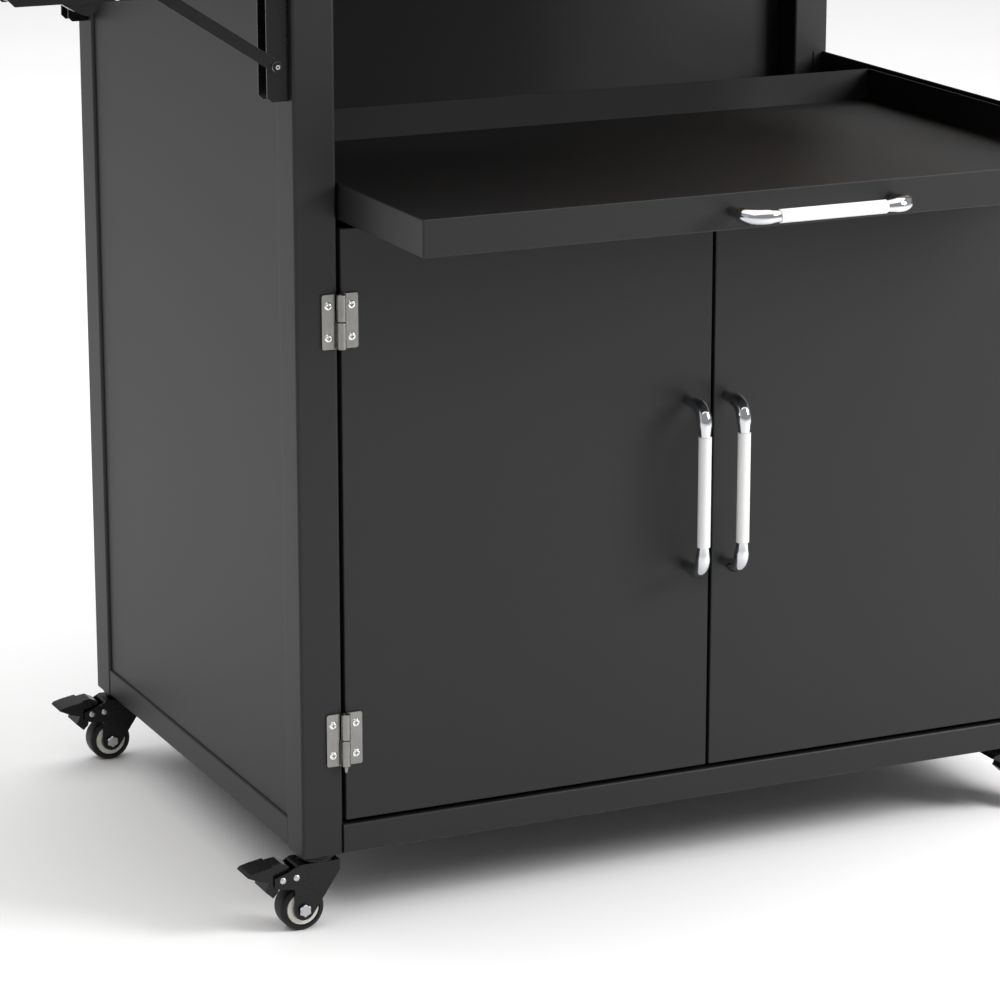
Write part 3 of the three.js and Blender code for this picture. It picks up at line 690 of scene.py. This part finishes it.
# ---- folding brackets -----------------------------------------------------------------------
# Pressed steel in gloss black. A channel is screwed to the post, an arm under the leaf turns on a
# pin at the channel's top, a flat strut props it, and a sprung lever inside the arm releases it.
PRESS_EDGE = 0.0003
RIVET_HEAD_R = 0.0047
RIVET_HEAD = 0.0023
LEVER_STANDS_OUT = 0.0021
GLOSS_DARK = (0.0036, 0.0038, 0.0041, 1)
GLOSS_LIGHT = (0.0052, 0.0054, 0.0058, 1)
gloss_black = sprayed_finish("gloss_black", GLOSS_DARK, GLOSS_LIGHT, 700, 0.18, (0.22, 0.32), 1.36)
joint_place = {j["name"]: Vector(j["pos_m"]) for j in frame["joints"] if "pos_m" in j}


def dome(bm, base, axis, radius, height):
    """A domed rivet head that stands on a face, with a small dimple in its top."""
    profile = [(0, -0.0002), (radius, -0.0002), (radius, height * 0.2), (radius * 0.86, height * 0.62),
               (radius * 0.55, height * 0.92), (radius * 0.28, height), (0, height * 0.86)]
    head = bmesh.new()
    lathe(head, profile, base, axis, 28)
    join(bm, head)


for end, out in (("front", -1), ("rear", 1)):
    for part, body in (("channel", "cart_frame"), ("arm", "leaf"), ("strut", "strut_" + end),
                       ("lever", "lever_" + end)):
        node = f"bracket_{end}_{part}"
        pressed = cad_copy(node)
        round_edges(pressed, sharp_edges(pressed), PRESS_EDGE, 2)
        add_piece(f"{node}_pressed", pressed, gloss_black, body, "bracket_black", node)
    arm_lo, arm_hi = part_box(f"bracket_{end}_arm")
    strut_lo, strut_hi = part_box(f"bracket_{end}_strut")
    outer = arm_lo.y if out < 0 else arm_hi.y
    strut_face = strut_lo.y if out < 0 else strut_hi.y
    rivets = bmesh.new()
    pin = joint_place[f"strut_{end}_turn"].copy()
    pin.y = strut_face + out * 0.0003
    dome(rivets, pin, (0, out, 0), RIVET_HEAD_R, RIVET_HEAD)
    add_piece(f"bracket_{end}_foot_rivet", rivets, zinc, "cart_frame", "zinc")
    rivets = bmesh.new()
    pin = joint_place[f"lever_{end}_press"].copy()
    pin.y = outer + out * LEVER_STANDS_OUT
    dome(rivets, pin, (0, out, 0), RIVET_HEAD_R, RIVET_HEAD * 0.4)
    add_piece(f"bracket_{end}_lever_rivet", rivets, zinc, "leaf", "zinc")

# ---- swivel casters -------------------------------------------------------------------------
# Under each post: a race of two pressed rings, a pressed fork, a wheel on a zinc hex bolt, and a
# brake pedal on two rivets between the cheeks.
TYRE_R = 0.0215
HUB_R = 0.0155
HUB_RING = 0.0105
BOLT_FLATS = 0.01071
BOLT_CHAMFER = 0.0007
RACE_RIM = 0.0008
CHEEK_EDGE = 0.0005
PEDAL_EDGE = 0.0012
FORK_RIVET_R = 0.0032
FORK_RIVET_HEAD = 0.0016
RUBBER_DARK = (0.005, 0.005, 0.0053, 1)
RUBBER_LIGHT = (0.008, 0.008, 0.0085, 1)
CREAM_DARK = (0.66, 0.64, 0.58, 1)
CREAM_LIGHT = (0.74, 0.73, 0.68, 1)
tyre_rubber = sprayed_finish("tyre_rubber", RUBBER_DARK, RUBBER_LIGHT, 600, 0.2, (0.42, 0.55), 1.34)
hub_cream = sprayed_finish("hub_cream", CREAM_DARK, CREAM_LIGHT, 500, 0.08, (0.35, 0.45))

for place_name in ("front_left", "front_right", "rear_left", "rear_right"):
    caster = "caster_" + place_name
    swivel = joint_place[place_name + "_swivel"]
    axle = joint_place[place_name + "_roll"]
    pivot = joint_place[place_name + "_brake"]
    lo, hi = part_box(caster + "_race")
    race_r = (hi.x - lo.x) / 2
    race_h = hi.z - lo.z
    race = bmesh.new()
    rings = [(0, lo.z), (race_r * 0.86, lo.z), (race_r * 0.9, lo.z + RACE_RIM),
             (race_r * 0.9, lo.z + race_h * 0.42), (race_r * 0.84, lo.z + race_h * 0.5),
             (race_r - RACE_RIM, lo.z + race_h * 0.58), (race_r, lo.z + race_h * 0.66),
             (race_r, hi.z - RACE_RIM), (race_r - RACE_RIM, hi.z), (0, hi.z)]
    lathe(race, rings, Vector((swivel.x, swivel.y, 0)), (0, 0, 1), 48)
    add_piece(caster + "_rings", race, gloss_black, "cart_frame", "bracket_black", caster + "_race")

    fork = cad_copy(caster + "_fork")
    round_edges(fork, sharp_edges(fork), CHEEK_EDGE, 3)
    add_piece(caster + "_cheeks", fork, gloss_black, caster, "bracket_black", caster + "_fork")
    pedal = cad_copy(caster + "_pedal")
    round_edges(pedal, sharp_edges(pedal), PEDAL_EDGE, 3)
    add_piece(caster + "_brake", pedal, gloss_black, "pedal_" + place_name, "bracket_black",
              caster + "_pedal")

    fork_lo, fork_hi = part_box(caster + "_fork")
    bright = bmesh.new()
    for side, face in ((-1, fork_lo.y), (1, fork_hi.y)):
        out = Vector((0, side, 0))
        seat = Vector((axle.x, face - side * 0.0031, axle.z))
        nut = bmesh.new()
        bmesh.ops.create_circle(nut, cap_ends=True, segments=6, radius=BOLT_FLATS / math.sqrt(3))
        risen = bmesh.ops.extrude_face_region(nut, geom=nut.faces[:])["geom"]
        top = [v for v in risen if isinstance(v, bmesh.types.BMVert)]
        bmesh.ops.translate(nut, vec=(0, 0, BOLT_CHAMFER), verts=top)
        bmesh.ops.scale(nut, vec=(0.87, 0.87, 1), verts=top)
        turn = Matrix.Rotation(math.radians(-90 * side), 4, "X")
        place = Matrix.Translation(seat + out * 0.0026) @ turn
        bmesh.ops.transform(nut, matrix=place, verts=nut.verts)
        join(bright, nut)
        for rivet in (pivot, Vector((swivel.x - 0.0245, 0, pivot.z + 0.0008))):
            foot = Vector((rivet.x, face - side * 0.0030, rivet.z))
            dome(bright, foot, out, FORK_RIVET_R, FORK_RIVET_HEAD)
    add_piece(caster + "_bolt", bright, zinc, caster, "zinc")

    low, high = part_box(caster + "_wheel")
    half = (high.y - low.y) / 2
    tyre = bmesh.new()
    tread = mirrored([(HUB_R, 0.003 - half), (HUB_R + 0.0008, 0.0004 - half),
                      (TYRE_R - 0.005, -half), (TYRE_R - 0.0018, 0.0008 - half),
                      (TYRE_R - 0.0004, 0.0026 - half), (TYRE_R, 0.005 - half)])
    lathe(tyre, tread, axle, (0, 1, 0), 64)
    add_piece(caster + "_tyre", tyre, tyre_rubber, "wheel_" + place_name, "tyre", caster + "_wheel")
    hub = bmesh.new()
    disc = mirrored([(0.0033, 0.0028 - half), (0.0062, 0.0016 - half), (0.0078, 0.0018 - half),
                     (0.0086, 0.0044 - half), (HUB_RING - 0.0004, 0.0044 - half),
                     (HUB_RING, 0.0012 - half), (HUB_R - 0.0006, 0.0006 - half),
                     (HUB_R, 0.0012 - half)])
    lathe(hub, disc, axle, (0, 1, 0), 64)
    add_piece(caster + "_hub", hub, hub_cream, "wheel_" + place_name, "sleeve")

# ---- floor and light ------------------------------------------------------------------------
# A plain pale floor, and soft studio light: a wide panel overhead, a small one at the right front,
# a weak one at the left, and a pale surround.
FLOOR_REACH = 30
WORLD_STRENGTH = 0.4
floor_mesh = bmesh.new()
bmesh.ops.create_grid(floor_mesh, x_segments=1, y_segments=1, size=FLOOR_REACH)
floor_data = bpy.data.meshes.new("studio_floor")
floor_mesh.to_mesh(floor_data)
floor_mesh.free()
floor = bpy.data.objects.new("studio_floor", floor_data)
bpy.context.collection.objects.link(floor)
paper, nodes, links, shader, place = new_finish("pale_paper")
shade = nodes.new("ShaderNodeTexNoise")
shade.inputs["Scale"].default_value = 2
links.new(place, shade.inputs["Vector"])
between(nodes, links, shade.outputs["Fac"], (0.96, 0.96, 0.96, 1), (0.98, 0.98, 0.98, 1),
        shader.inputs["Base Color"])
shader.inputs["Roughness"].default_value = 0.8
floor_data.materials.append(paper)


def panel_light(name, power, size, spot, aim):
    """A rectangular lamp at a spot that shines at another point."""
    lamp = bpy.data.lights.new(name, "AREA")
    lamp.energy = power
    lamp.shape = "RECTANGLE"
    lamp.size, lamp.size_y = size
    made = bpy.data.objects.new(name, lamp)
    made.location = spot
    made.rotation_euler = (Vector(aim) - Vector(spot)).to_track_quat("-Z", "Y").to_euler()
    bpy.context.collection.objects.link(made)


panel_light("key", 40, (0.8, 0.8), (1.6, -1.4, 1.35), (0.6, -0.3, 0.5))
panel_light("left", 3.2, (2.2, 2.0), (-3.0, -0.2, 1.2), (0, 0, 0.4))
panel_light("overhead", 560, (11, 11), (0, 0.8, 5.5), (0, 0.8, 0))
world = bpy.data.worlds.new("studio")
world.use_nodes = True
world.node_tree.nodes["Background"].inputs["Color"].default_value = (1, 1, 1, 1)
world.node_tree.nodes["Background"].inputs["Strength"].default_value = WORLD_STRENGTH
bpy.context.scene.world = world
bpy.context.scene.view_settings.view_transform = "Standard"
